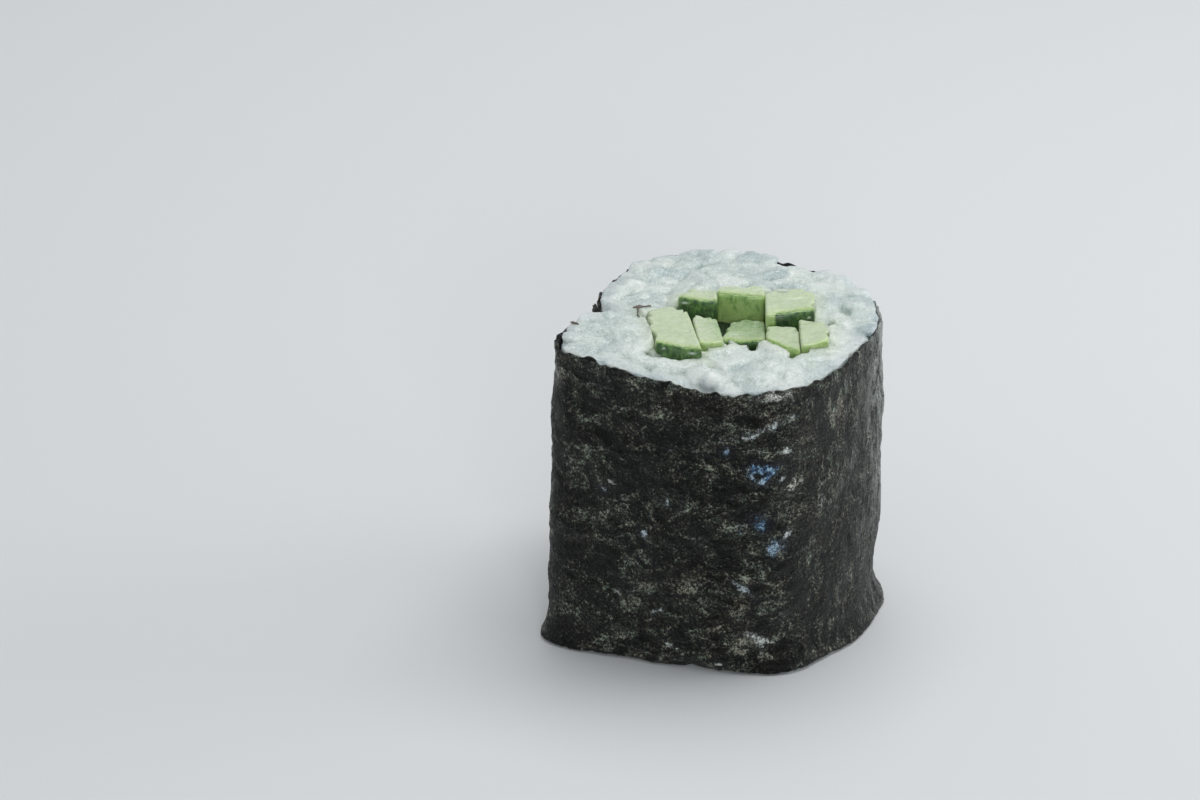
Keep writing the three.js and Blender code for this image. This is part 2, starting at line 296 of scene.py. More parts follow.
def grain_bumps(arc, z, seed):
    """The rice grains showing through the damp sheet."""
    rng = np.random.default_rng(seed)
    total = np.zeros_like(arc)
    for _ in range(GRAIN_BUMPS):
        at, up = rng.uniform(-3, 101), rng.uniform(0, 29)
        turn = rng.uniform(0, math.pi)
        length, width = rng.uniform(1.9, 2.7), rng.uniform(0.8, 1.15)
        height = rng.uniform(0.05, 0.16)
        near = (np.abs(arc - at) < 6) & (np.abs(z - up) < 6)
        bump = height * oval(arc[near] - at, z[near] - up, turn, length, width)
        total[near] = np.maximum(total[near], bump)
    return total


def creases(arc, z, seed):
    """Fine folds, most of them on the right-hand side and rising to the right."""
    rng = np.random.default_rng(seed)
    total = np.zeros_like(arc)
    for _ in range(CREASES):
        at, up = rng.uniform(0, 98), rng.uniform(1, 28)
        turn = math.radians(rng.normal(52, 24))
        length, width = rng.uniform(0.9, 3.4), rng.uniform(0.22, 0.4)
        height = rng.uniform(-0.11, 0.07)
        near = (np.abs(arc - at) < 9) & (np.abs(z - up) < 9)
        total[near] += height * oval(arc[near] - at, z[near] - up, turn, length, width, 0.06)
    return total


def crinkles(points, angle):
    """Sharp little folds: lying across the front, standing on the right-hand side."""
    right = smoothstep(degrees_between(angle, 350), 60, 25)
    across = points * (0.6, 0.6, 1.5)
    upright = points * (1.5, 1.5, 0.5)
    fold = lambda waves: 0.55 - np.minimum(np.abs(waves), 0.55)
    lying = fold(Waves(4.5, 11, 60)(across)) + 0.5 * fold(Waves(2.0, 12, 60)(across))
    standing = fold(Waves(3.6, 13, 60)(upright)) + 0.5 * fold(Waves(1.7, 14, 60)(upright))
    return lying * (1 - right) + standing * right


# Where the sheet shines wet, painted with highlights, some bluish as the reflection of a
# bluish light: faces, height, length, width, turn, strength, how blue.
WET = (
    (272.5, 22.4, 0.4, 0.5, 0, 0.9, 0.8), (285.2, 21, 1.5, 0.5, 0, 1, 1),
    (284.5, 19.7, 0.65, 0.4, 0, 1, 0.8), (287, 20.2, 0.9, 0.35, 60, 0.9, 1),
    (280.8, 20.3, 0.6, 0.28, -45, 0.9, 0.7), (280, 21, 0.5, 0.3, 0, 0.7, 0.4),
    (292.5, 22.7, 0.7, 0.35, 12, 1, 0.2), (296, 18.9, 1.3, 0.8, 20, 0.72, 0),
    (292, 19.8, 0.6, 0.22, 50, 0.85, 0.3), (284.5, 15.3, 0.9, 0.7, -50, 0.7, 1),
    (289.5, 12.9, 0.9, 0.9, 20, 0.9, 0.8), (293.5, 14, 0.9, 0.4, 60, 0.8, 0.3),
    (278.5, 8.9, 1.4, 0.28, -38, 1, 0.4), (287, 2.9, 2.4, 0.5, -35, 1, 0.2),
    (292.5, 1.6, 1.3, 0.6, 10, 0.7, 0.1), (289, 28, 2.1, 0.6, 0, 0.85, 0.1),
    (287, 25.1, 2.6, 0.35, 18, 0.75, 0.3), (282, 24.4, 1.5, 0.3, 25, 0.7, 0.3),
    (241, 13, 0.5, 0.6, 30, 0.8, 0.5), (224.5, 16.7, 0.8, 0.7, 0, 0.45, 0.5),
    (252, 2.4, 1.2, 0.25, -20, 0.7, 0.2), (246, 5.5, 0.9, 0.3, 25, 0.6, 0.3),
    (270.5, 1, 0.6, 0.25, 0, 0.8, 0.2), (227, 17.6, 1.1, 0.25, -12, 0.7, 0.2),
    (226.5, 14.6, 0.5, 0.25, 45, 0.75, 0.1), (250, 16.5, 0.4, 0.5, 0, 0.6, 0.4),
)


# Where the sheet is lighter (+) or darker (-): painted light and shade of its folds and lit
# upper edge, and broad lighter and darker patches: faces, height, length, width, turn, amount.
TONES = (
    (289, 24, 3.5, 4, 0, 0.05), (266, 27.8, 6, 1, 0, 0.05), (249, 18.8, 6, 1.4, 0, -0.07),
    (240, 14.8, 3.5, 1.6, 0, 0.05), (288, 2.5, 3, 1.8, 0, 0.07), (247, 3.5, 5, 1.8, 0, 0.06),
    (213, 14, 5, 30, 0, -0.07), (340, 6, 12, 8, 0, -0.05), (262, 12.5, 5, 1, 0, -0.04),
    (315.5, 19.5, 3.5, 0.8, 64, 0.07), (316, 24.3, 1.4, 0.6, 60, 0.06),
    (310.5, 16.6, 1.2, 0.5, 85, 0.06), (321, 20.5, 1.2, 0.45, 60, -0.08),
    (314, 21.9, 1, 0.5, 60, -0.07), (324, 17.3, 1.1, 0.5, 90, 0.05),
    (331, 20.2, 1.3, 0.12, 72, -0.16), (332, 20.3, 1.4, 0.3, 72, 0.08),
    (305, 24.2, 1.2, 1, 0, -0.06),
)


def spot(angle, z, faces, up, length, width, turn):
    """An oval that lies on the sheet where it faces a given way."""
    da = ((angle - faces + 180) % 360 - 180) / 360 * GIRTH
    return oval(da, z - up, math.radians(turn), length, width)


def tone_of(angle, z):
    total = np.zeros_like(z)
    for *where, amount in TONES:
        total += amount * spot(angle, z, *where)
    return total


def wet_film(angle, z):
    """Strength of the wet film and its painted highlights, and how blue their painted reflection is.
    """
    strength, blue = np.zeros_like(z), np.zeros_like(z)
    for *where, most, blueness in WET:
        here = most * spot(angle, z, *where)
        blue = np.where(here > strength, blueness, blue)
        strength = np.maximum(strength, here)
    return strength, blue


def sheet_relief(outer, angle):
    """Grains, folds and waves in the sheet, the same in both layers where it laps."""
    arc = angle / 360 * GIRTH
    relief = grain_bumps(arc, outer[:, 2], 3) + creases(arc, outer[:, 2], 4)
    relief += CRINKLE_DEPTH * (crinkles(outer, angle) - 0.3)
    relief += 0.06 * Waves(9, 5)(outer) + 0.015 * Waves(1.2, 6, 60)(outer)
    return relief - 0.06


def sheet_edges(outer, angle, travelled, v):
    """How far the sheet's ragged edges rise, with a tab at the front left."""
    ragged = 0.10 * Waves(1.1, 7, 60)(outer) + 0.07 * Waves(3.2, 8)(outer)
    ragged -= BACK_RIM_DROP * smoothstep(degrees_between(angle, 80), 75, 50) * (v > 0.5)
    tab = FRONT_TAB * smoothstep(angle, 203, 215) * smoothstep(angle, 220.2, 219)
    corner = SEAM_CORNER * smoothstep(travelled, 9, 0)
    upper = (ragged + tab - corner) * smoothstep(v, 0.97, 1)
    return upper + 0.5 * np.abs(ragged) * smoothstep(v, 0.03, 0)


def make_nori(material):
    columns, rows, coarse = 500, 161, 20  # the inner face has every 20th row
    turn = np.linspace(0, 360 + SEAM_OVERLAP, columns)
    travelled, v = (a.ravel() for a in np.meshgrid(turn, np.linspace(0, 1, rows)))
    outer = np.stack(sheet_point(travelled, v), axis=1)
    angle = (SEAM_START + travelled) % 360
    a = np.radians(angle)
    outwards = np.stack([np.cos(a), np.sin(a), 0 * a], axis=1)
    outer += outwards * sheet_relief(outer, angle)[:, None]
    outer[:, 2] += sheet_edges(outer, angle, travelled, v)
    ids = np.arange(columns * rows).reshape(rows, columns)
    start = len(outer)
    backed = ids[::coarse]
    inner = outer[backed.ravel()] - outwards[backed.ravel()] * (SHEET_THICKNESS - 0.04)
    behind = start + np.arange(len(inner)).reshape(backed.shape)
    faces = grid_faces(columns, rows).tolist()
    faces += grid_faces(columns, len(backed), start, flip=True).tolist()
    for edge, back in ((ids[0, ::-1], behind[0, ::-1]), (ids[-1], behind[-1])):
        faces += np.stack([edge[1:], edge[:-1], back[:-1], back[1:]], axis=1)[:, ::-1].tolist()
    faces.append([*ids[:, 0][::-1].tolist(), *behind[:, 0].tolist()])
    faces.append([*ids[:, -1].tolist(), *behind[:, -1][::-1].tolist()])
    whole = np.concatenate([outer, inner])
    mesh = new_mesh("nori_sheet", whole, faces)
    angle, height = angle_of(whole), whole[:, 2]
    # The wet film and its painted highlights, and how blue their painted reflection is.
    wet, blue = wet_film(angle, height)
    upright = smoothstep(degrees_between(angle, 350), 62, 38)
    # Grey fibres and a painted sheen where the sheet faces right, most of it higher up.
    fuzz = hump(degrees_between(angle, 8), 24) * (0.35 + 0.65 * smoothstep(height, 6, 20))
    # The tone layer holds painted light and shade of folds and of the lit upper edge.
    set_layers(mesh, wet=wet, blue=blue, upright=upright, fuzz=fuzz, tone=tone_of(angle, height))
    return add_object(mesh, material)


# ---- Cucumber ----


def baton_corners(baton, margin=0):
    """Corners of a baton's footprint, with its skin side at +X: (x, y, reach)."""
    _, _, skin, core, depth, aslant, _, _ = baton
    inner, outer = -depth / 2 - margin, depth / 2 + margin
    return [
        (inner, -core / 2 - margin, BATON_CORNER),
        (outer - aslant, -skin / 2 - margin, BATON_CORNER),
        (outer + SKIN_BULGE, 0, skin / 4),
        (outer + aslant, skin / 2 + margin, BATON_CORNER),
        (inner, core / 2 + margin, BATON_CORNER),
    ]


def baton_outline(baton, margin=0, step=0.16):
    """Points round the footprint, in the baton's own axes, a step apart."""
    corners = baton_corners(baton, margin)
    line = []
    for i, (*corner, reach) in enumerate(corners):
        here = np.array(corner)
        before = np.array(corners[i - 1][:2]) - here
        after = np.array(corners[(i + 1) % 5][:2]) - here
        before = here + before / np.linalg.norm(before) * reach
        after = here + after / np.linalg.norm(after) * reach
        for t in np.linspace(0, 1, 7):
            line.append((1 - t) ** 2 * before + 2 * t * (1 - t) * here + t * t * after)
    line = np.array(line + [line[0]])
    lengths = np.concatenate([[0], np.cumsum(np.linalg.norm(np.diff(line, axis=0), axis=1))])
    count = int(lengths[-1] / step)
    at = np.linspace(0, lengths[-1], count, endpoint=False)
    return np.stack([np.interp(at, lengths, line[:, 0]), np.interp(at, lengths, line[:, 1])], axis=1)


def to_plan(baton, local):
    x, y, faces = baton[0], baton[1], math.radians(baton[6])
    c, s = math.cos(faces), math.sin(faces)
    out, along = local[:, 0], local[:, 1]
    return np.stack([x + out * c - along * s, y + out * s + along * c], axis=1)


def to_local(baton, plan):
    x, y, faces = baton[0], baton[1], math.radians(baton[6])
    c, s = math.cos(faces), math.sin(faces)
    dx, dy = plan[:, 0] - x, plan[:, 1] - y
    return np.stack([dx * c + dy * s, dy * c - dx * s], axis=1)


def skin_depth(baton, local):
    """How far a point of the footprint lies in from the skin."""
    _, _, skin, _, depth, aslant, _, _ = baton
    t = np.clip(local[:, 1] / (skin / 2), -1, 1)
    return depth / 2 + aslant * t + SKIN_BULGE * (1 - t ** 2) * 0.8 - local[:, 0]


def inside_footprint(baton, plan, margin=0):
    """How deep points lie in a baton's footprint (below 0 outside), and the way out."""
    corners = [np.array(c[:2]) for c in baton_corners(baton, margin)]
    local = to_local(baton, plan)
    depth = np.full(len(plan), np.inf)
    normal = np.zeros_like(local)
    for a, b in zip(corners, corners[1:] + corners[:1]):
        edge = (b - a) / np.linalg.norm(b - a)
        outwards = np.array([edge[1], -edge[0]])
        inwards = -(local - a) @ outwards
        nearer = inwards < depth
        depth[nearer] = inwards[nearer]
        normal[nearer] = outwards
    return depth, normal


def bitten(baton, number, outline, z, inset):
    """The footprint's outline at a height: drawn in, and nibbled in the flesh near the cut."""
    along = np.roll(outline, -1, axis=0) - np.roll(outline, 1, axis=0)
    along /= np.linalg.norm(along, axis=1)[:, None]
    inwards = outline.mean(axis=0) - outline
    reach = np.linalg.norm(inwards, axis=1)
    inwards /= reach[:, None]
    slant = np.abs(inwards[:, 0] * along[:, 1] - inwards[:, 1] * along[:, 0])
    inwards /= np.maximum(slant, 0.5)[:, None]
    flesh = smoothstep(skin_depth(baton, outline), 0.15, 0.9)
    core = smoothstep(outline[:, 0], 1.2 - baton[4] / 2, -baton[4] / 2)
    where = np.column_stack([outline, np.full(len(outline), 0.4 * z)])
    waves = 0.5 * Waves(2.1, 70 + number)(where) + 0.07 * Waves(0.9, 80 + number)(where)
    bite = np.clip(0.45 + waves, 0, 1.1) * (0.05 + 0.28 * flesh + 0.3 * core) - 0.07 * flesh
    bite += 0.4 * core * smoothstep(reach / reach.max(), 0.86, 1)
    # Sides that press against another baton keep their edge.
    plan = to_plan(baton, outline)
    nearest = np.max([inside_footprint(b, plan)[0] for b in BATONS if b is not baton], axis=0)
    pressed = smoothstep(nearest, *TOUCHING) * (1 - core)
    bite = bite * (1 - pressed) - 0.05 * pressed
    bite = bite * smoothstep(z, baton[7] - NIBBLED_HEIGHT, baton[7])
    return outline + inwards * (inset + bite)[:, None]


def make_baton(number, baton, material):
    top = baton[7]
    outline = baton_outline(baton, DRAWN_FULLER)
    count = len(outline)
    middle = outline.mean(axis=0)
    # Rings from the foot up: (how much of the outline's reach, inset, height).
    levels = [(1, FOOT_ROUNDING, 0.0)]
    levels += [(1, 0.0, z) for z in (FOOT_ROUNDING, 1, 3, 6, 10, 14, 18, 22, 25)]
    levels += [(1, 0.0, z) for z in np.arange(26, top - 1.3, 0.25)]
    levels += [(1, 0.0, z) for z in np.arange(top - 1.2, top - 0.35, 0.1)]
    levels += [(1, inset, top - below) for below, inset in TOP_ROUNDING]
    levels += [(k, 0.2, top) for k in np.linspace(0.99, 0.04, 22)]
    local = np.concatenate([
        middle + (bitten(baton, number, outline, z, inset) - middle) * k for k, inset, z in levels
    ])
    z = np.repeat([z for _, _, z in levels], count)
    local = np.concatenate([local, [middle, middle]])
    z = np.concatenate([z, [0.0, top]])
    points = np.column_stack([to_plan(baton, local), z])
    rng = np.random.default_rng(50 + number)
    tilt = rng.uniform(-0.03, 0.03, 2)
    waves = 0.05 * Waves(3.0, 60 + number)(points) + 0.012 * Waves(0.9, 90 + number)(points)
    lift = np.minimum(local @ tilt + waves - 0.05, 0.1)
    points[:, 2] += lift * smoothstep(z, 26, 28)
    under, over = len(points) - 2, len(points) - 1
    last = (len(levels) - 1) * count
    faces = grid_faces(count, len(levels), closed=True).tolist()
    faces += [face[::-1] for face in fan(0, count, under)]
    faces += fan(last, count, over)
    mesh = new_mesh(f"baton_{number}", points, faces)
    at_core, at_skin, to_right, skin_from, tone, fade = CUTS[number - 1]
    across = local[:, 1] / (baton[2] / 2)
    bare = smoothstep(across, skin_from + 0.05, skin_from - 0.05)
    inwards = smoothstep(local[:, 0] / baton[4], 0.5, -0.5)
    green = at_skin + (at_core - at_skin) * inwards + to_right * np.clip(across, -1, 1)
    glint = np.zeros(len(points))
    for where, along, height, half in GLINTS:
        if where == number:
            off = np.hypot((local[:, 1] - along) / half, (z - height) / 0.09)
            glint = np.maximum(glint, hump(off, 1.0) * (local[:, 0] > 0))
    # The skin's painted shade changes over the 3 mm below the cut.
    set_layers(
        mesh,
        skin_depth=skin_depth(baton, local) + 0.45 * bare,
        fade=fade * np.clip((top - z) / 3, 0, 1),
        green=green,
        tone=np.full(len(points), tone),
        glint=glint,
    )
    return add_object(mesh, material)


# ---- Rice ----

GRAIN = (4.8, 2.35, 2.1)  # length, width, height
RICE_LEVEL = 28.75  # of the cut inside the roll
KNIFE_MARGIN = 0.12  # how far a grain may stand above the level before it was cut
LEFT_BY_KNIFE = 0.42  # of what stood higher
RISE_TO_FLESH = 0.4  # of the rice beside a baton's flesh
SLIT_DEPTH = 2.2  # of the rice between two batons
FRONT_RELIEF_LOSS, BACK_RELIEF_LOSS = 0.45, 0.2  # of the grains' relief, lost to pressing
BACK_RICE_RISE = 0.35  # how much prouder of the sheet it is at the back
RICE_CLEARANCE, SLAB_CLEARANCE = 0.12, 0.2  # from the sheet
JUICE_REACH, RIM_REACH = 1.6, 2.6  # how far in from cucumber the rice is tinged, and from the sheet painted in shade
UPPER_SPACINGS, LOWER_SPACING = (1.6, 2.1), 1.9  # of the grains, layer by layer inwards
LAYER_DEPTH = 0.9
SOFTENING = 3  # how often the fused grains are smoothed
# Slabs that fill the sheet behind the grains: level, thickness.
UPPER_SLAB, LOWER_SLAB, CORE_SLAB = (25.6, 2.0), (0.7, 1.6), (0.9, 25.9)
UPPER_RANGE, LOWER_RANGE = (26.2, 40), (-1, 2)  # levels kept of the fused grains
# Gaps before and behind the lower batons, sunk and painted in shade: x, y, half width, half length,
# depth.
GAPS = ((3.15, -4.9, 0.42, 1.4, 2.2), (0.65, 0.6, 0.95, 2, 4.5))
# Grains that stand out at the cut: x, y, z, length, heading, pitch, tint.
PROUD_GRAINS = (
    (-0.7, -11.3, 27.85, 4.3, 80, 54, 1), (1.1, -5.9, 28.2, 4, 14, 4, 0.9),
    (4.9, -6.1, 28.3, 4, -50, 6, 0.8), (-1.8, -8.2, 27.8, 4.6, 12, 10, 0.7),
    (8.2, -8.2, 28.3, 4.4, 28, 8, 0.6), (2.4, -10.8, 27.8, 4.6, 60, 22, 0.4),
    (-4.9, -8.3, 28, 4.2, -12, 5, 0.8), (-7.6, -6.9, 28.2, 4, -50, 4, 0.6),
)


def push_out_of_batons(points, margin):
    """Moves points that lie in a baton sideways to its face, below the baton's top."""
    for baton in BATONS:
        depth, normal = inside_footprint(baton, points[:, :2], margin)
        inside = (depth > 0) & (points[:, 2] < baton[7] + 0.6)
        if not inside.any():
            continue
        local = to_local(baton, points[inside, :2])
        local += normal[inside] * depth[inside][:, None]
        points[inside, :2] = to_plan(baton, local)
    return points


def hold_in_sheet(points, rim_bulge=0.25):
    """Presses points flat against the sheet; above it they may bulge out a little."""
    angle, z = angle_of(points), points[:, 2]
    room = roll_radius(angle, z) - SHEET_THICKNESS - RICE_CLEARANCE
    room = room + rim_bulge * smoothstep(z - upper_edge(angle), -0.1, 0.7)
    radius = np.hypot(points[:, 0], points[:, 1])
    points[:, :2] *= np.minimum(1, room / np.maximum(radius, 1e-6))[:, None]
    return points


def unit_grain():
    """A plump cooked grain along X, blunter at one end: its points and faces."""
    columns, rows = 18, 11
    u = np.linspace(0, 2 * np.pi, columns, endpoint=False)
    v = np.linspace(-np.pi / 2, np.pi / 2, rows + 2)[1:-1]
    points = []
    for b in v:
        x = math.copysign(abs(math.sin(b)) ** 0.9, b)
        r = math.cos(b) ** 0.8 * (1 + 0.07 * math.sin(b))
        points += [(x, r * math.cos(a), r * math.sin(a)) for a in u]
    points += [(-1, 0, 0), (1, 0, 0)]
    faces = grid_faces(columns, rows, closed=True).tolist()
    low, high = len(points) - 2, len(points) - 1
    faces += [face[::-1] for face in fan(0, columns, low)]
    faces += fan((rows - 1) * columns, columns, high)
    return np.array(points), faces


UNIT_GRAIN, GRAIN_FACES = unit_grain()


def spin(p, i, j, angle):
    """Turns points in the plane of two axes."""
    c, s = math.cos(angle), math.sin(angle)
    p[:, i], p[:, j] = p[:, i] * c - p[:, j] * s, p[:, i] * s + p[:, j] * c


def grain_points(rng, place, pitch, heading=None, size=GRAIN):
    """A grain lying at a place; without a heading it lies as chance has it."""
    length, width, height = (np.array(size) / 2) * rng.uniform(0.86, 1.12, 3)
    p = UNIT_GRAIN * (length, width, height)
    p[:, 1] += rng.uniform(-0.16, 0.16) * (p[:, 0] / length) ** 2 * width
    p += 0.05 * Waves(2.2, int(rng.integers(1 << 30)), 12)(p)[:, None] * UNIT_GRAIN
    tilt = math.radians(rng.normal(0, pitch) if heading is None else pitch)
    turn = rng.uniform(0, 2 * math.pi) if heading is None else math.radians(heading)
    spin(p, 1, 2, rng.uniform(0, 2 * math.pi))
    spin(p, 0, 2, -tilt)
    spin(p, 0, 1, turn)
    return p + place


def scatter(rng, spacing, tries=6000):
    """Places in the plan, at least a spacing apart, inside the sheet."""
    kept = np.zeros((0, 2))
    for _ in range(tries):
        angle, u = rng.uniform(0, 360), rng.uniform(0, 1)
        r = (roll_radius(angle, UPPER_EDGE) - 0.9) * math.sqrt(u)
        a = math.radians(angle)
        place = np.array([r * math.cos(a), r * math.sin(a)])
        if len(kept) and np.min(np.linalg.norm(kept - place, axis=1)) < spacing:
            continue
        kept = np.vstack([kept, place])
    return kept


def depths_in_batons(points):
    """How deep points lie in each baton's footprint; below 0 is outside."""
    return np.array([inside_footprint(b, points[:, :2])[0] for b in BATONS])


def rice_level(x, y):
    """The level of the knife's cut through the rice: lower beside the sheet."""
    angle = np.degrees(np.arctan2(y, x))
    inwards = roll_radius(angle, UPPER_EDGE) - np.hypot(x, y)
    proud = BACK_RICE_RISE * smoothstep(degrees_between(angle, 88), 125, 95)
    rim = upper_edge(angle) - 0.05 + proud
    level = rim + (RICE_LEVEL - rim) * smoothstep(inwards, 0.2, 4.0)
    for at_x, at_y, rise, spread in RICE_SWELLS:
        level = level + rise * hump(np.hypot(x - at_x, y - at_y), spread)
    return level


def slab(level, thickness):
    """A solid that fills the sheet between two levels."""
    angles = np.arange(0, 360, 4.0)
    a = np.radians(angles)
    n = len(angles)
    top = level + thickness
    walls = [(1, z) for z in np.linspace(level, top, max(2, int(thickness / 0.8)))]
    rings = []
    for k, z in [(0.33, level), (0.66, level), *walls, (0.66, top), (0.33, top)]:
        r = (roll_radius(angles, np.full(n, z)) - SHEET_THICKNESS - SLAB_CLEARANCE) * k
        rings.append(np.column_stack([r * np.cos(a), r * np.sin(a), np.full(n, z)]))
    faces = grid_faces(n, len(rings), closed=True).tolist()
    faces.append(list(range(n))[::-1])
    faces.append([(len(rings) - 1) * n + i for i in range(n)])
    return np.concatenate(rings), faces


def fuse(parts, voxel):
    """Joins closed shells into one skin and softens it, as sticky grains run together."""
    points, faces, start = [], [], 0
    for p, f in parts:
        points.append(p)
        faces += [[i + start for i in face] for face in f]
        start += len(p)
    mesh = bpy.data.meshes.new("loose")
    mesh.from_pydata(np.concatenate(points).tolist(), [], faces)
    obj = bpy.data.objects.new("loose", mesh)
    scene.collection.objects.link(obj)
    remesh = obj.modifiers.new("fuse", "REMESH")
    remesh.mode = "VOXEL"
    remesh.voxel_size = voxel
    soften = obj.modifiers.new("soften", "SMOOTH")
    soften.factor = 0.5
    soften.iterations = SOFTENING
    fused = obj.evaluated_get(bpy.context.evaluated_depsgraph_get()).to_mesh()
    co = values_of(fused.vertices, "co", 3)
    corners = values_of(fused.loops, "vertex_index", kind=np.int32)
    sides = values_of(fused.polygons, "loop_total", kind=np.int32)
    assert (sides == 4).all()
    bpy.data.objects.remove(obj)
    bpy.data.meshes.remove(mesh)
    return co.reshape(-1, 3).astype(float), corners.reshape(-1, 4)


def drop_hidden(points, quads, low, high):
    """Leaves out what lies deep in a baton or outside the wanted levels."""
    hidden = (points[:, 2] < low) | (points[:, 2] > high)
    for baton, depth in zip(BATONS, depths_in_batons(points)):
        hidden |= (depth > 0.25) & (points[:, 2] < baton[7] - 0.25)
    kept = quads[~hidden[quads].all(axis=1)]
    used, kept = np.unique(kept, return_inverse=True)
    return points[used], kept.reshape(-1, 4)


def cut_by_knife(points):
    """Presses what stands above the cut face nearly flat."""
    level = rice_level(points[:, 0], points[:, 1]) + KNIFE_MARGIN
    over = points[:, 2] - level
    points[:, 2] = np.where(over > 0, level + LEFT_BY_KNIFE * over, points[:, 2])
    return points


def upper_grains():
    """The points and the tint of each grain at the upper face."""
    rng = np.random.default_rng(21)
    grains = []
    for x, y, z, length, heading, pitch, tint in PROUD_GRAINS:
        p = grain_points(rng, (x, y, z), pitch, heading, (length, *GRAIN[1:]))
        grains.append((hold_in_sheet(push_out_of_batons(p, 0.02)), tint))
    taken = np.array([grain[:2] for grain in PROUD_GRAINS])
    for layer, spacing in enumerate(UPPER_SPACINGS):
        for place in scatter(rng, spacing):
            depths = depths_in_batons(place[None])
            between = np.sum(depths > -1.0) > 1
            if depths.max() > 0.2 or between and place[1] > -2:
                continue
            if layer == 0 and np.min(np.linalg.norm(taken - place, axis=1)) < 1.5:
                continue
            level = rice_level(*place) - 0.55 - layer * LAYER_DEPTH
            p = grain_points(rng, (*place, level + rng.uniform(-0.2, 0.2)), 20)
            p = hold_in_sheet(push_out_of_batons(cut_by_knife(p), 0.04))
            grains.append((p, rng.uniform(0, 1)))
    return grains


def lower_grains():
    rng = np.random.default_rng(22)
    grains = []
    for place in scatter(rng, LOWER_SPACING):
        if depths_in_batons(place[None]).max() > 0.2:
            continue
        p = grain_points(rng, (*place, rng.uniform(0.35, 1.0)), 18)
        p = hold_in_sheet(push_out_of_batons(p, 0.06))
        p[:, 2] = np.maximum(p[:, 2], 0.02)
        grains.append((p, rng.uniform(0, 1)))
    return grains


def near_cucumber(points):
    """From 1 beside a baton to 0 at a distance."""
    return smoothstep(depths_in_batons(points).max(axis=0), -JUICE_REACH, 0)


def near_sheet(points):
    # Painted shade of the rice beside the sheet: 1 against it, 0 further in than its reach.
    inwards = roll_radius(angle_of(points), points[:, 2]) - np.hypot(points[:, 0], points[:, 1])
    return smoothstep(inwards, RIM_REACH, SHEET_THICKNESS)


def sink_gaps(points):
    """Opens the gaps, and says how much painted shade each point takes."""
    darkest, sunk = np.zeros(len(points)), np.zeros(len(points))
    for x, y, half_width, half_length, depth in GAPS:
        off = np.hypot((points[:, 0] - x) / half_width, (points[:, 1] - y) / half_length)
        here = smoothstep(off, 1.3, 0.5) * is_upper(points)
        darkest, sunk = np.maximum(darkest, here), np.maximum(sunk, here * depth)
    points[:, 2] -= sunk
    return darkest


def soften_relief(points):
    """Settles the cut face: grains stand out of the level only a little."""
    off = points[:, 2] - rice_level(points[:, 0], points[:, 1])
    small = 0.03 * Waves(1.5, 31, 60)(points) + 0.02 * Waves(0.7, 32, 60)(points)
    back = smoothstep(points[:, 1], -6, 4)
    loss = FRONT_RELIEF_LOSS + (BACK_RELIEF_LOSS - FRONT_RELIEF_LOSS) * back
    points[:, 2] += (small - loss * np.clip(off, -1.2, 1.0)) * is_upper(points)


def meet_batons(points):
    """Lifts the rice to the batons' flesh, and sinks into a low baton what lies over it."""
    for baton in BATONS:
        depth, _ = inside_footprint(baton, points[:, :2])
        upper = is_upper(points)
        flesh = smoothstep(skin_depth(baton, to_local(baton, points[:, :2])), 0.5, 1.6)
        beside = smoothstep(depth, -1.1, -0.05) * flesh * upper
        room = np.maximum(baton[7] - 0.08 - points[:, 2], 0)
        points[:, 2] += beside * np.minimum(RISE_TO_FLESH, room)
        highest = baton[7] - 0.45 + 1.5 * (1 - smoothstep(depth, 0.08, 0.35))
        inside = (depth > 0.08) & upper
        points[inside, 2] = np.minimum(points[inside, 2], highest[inside])


def sink_between_batons(points):
    """Lets the rice lie low in the slits between batons."""
    second = np.sort(depths_in_batons(points), axis=0)[-2]
    points[:, 2] -= SLIT_DEPTH * smoothstep(second, *TOUCHING) * is_upper(points)


def tint_of(points, grains):
    """Each point takes the tint of the grain nearest to it, blended where grains meet."""
    samples = [(p[::3], t) for p, t in grains]
    tree = kdtree.KDTree(sum(len(p) for p, _ in samples))
    values, n = [], 0
    for p, t in samples:
        for co in p:
            tree.insert(co, n)
            values.append(t)
            n += 1
    tree.balance()
    values = np.array(values)
    return np.array([np.mean([values[i] for _, i, _ in tree.find_n(co, 4)]) for co in points])


def make_rice(material):
    fine, coarse = ((0.14, 0.19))
    points, quads, tint, start = [], [], [], 0
    upper = (upper_grains(), UPPER_SLAB, fine, UPPER_RANGE)
    lower = (lower_grains(), LOWER_SLAB, coarse, LOWER_RANGE)
    for grains, filling, voxel, levels in (upper, lower):
        parts = [slab(*filling)] + [(p, GRAIN_FACES) for p, _ in grains]
        p, q = drop_hidden(*fuse(parts, voxel), *levels)
        points.append(p)
        quads.append(q + start)
        tint.append(tint_of(p, grains))
        start += len(p)
    # The hidden core between them, whose top is painted in shade as the dark floor of the gaps.
    p, f = slab(*CORE_SLAB)
    points.append(p)
    tint.append(np.full(len(p), 0.5))
    faces = np.concatenate(quads).tolist() + [[i + start for i in face] for face in f]
    whole = np.concatenate(points)
    soften_relief(whole)
    meet_batons(whole)
    # The gaps and the core's top take painted shade.
    gap = sink_gaps(whole)
    gap[-len(p):] = is_upper(whole[-len(p):])
    sink_between_batons(whole)
    whole[:, 2] = np.maximum(whole[:, 2], 0)
    mesh = new_mesh("rice_packed", whole, faces)
    # A tinge beside the cucumber, and painted shade beside the sheet.
    juice, rim = near_cucumber(whole), near_sheet(whole)
    set_layers(mesh, tint=np.concatenate(tint), juice=juice, rim=rim, gap=gap)
    return add_object(mesh, material)


# ---- Flakes of nori on the cut ----

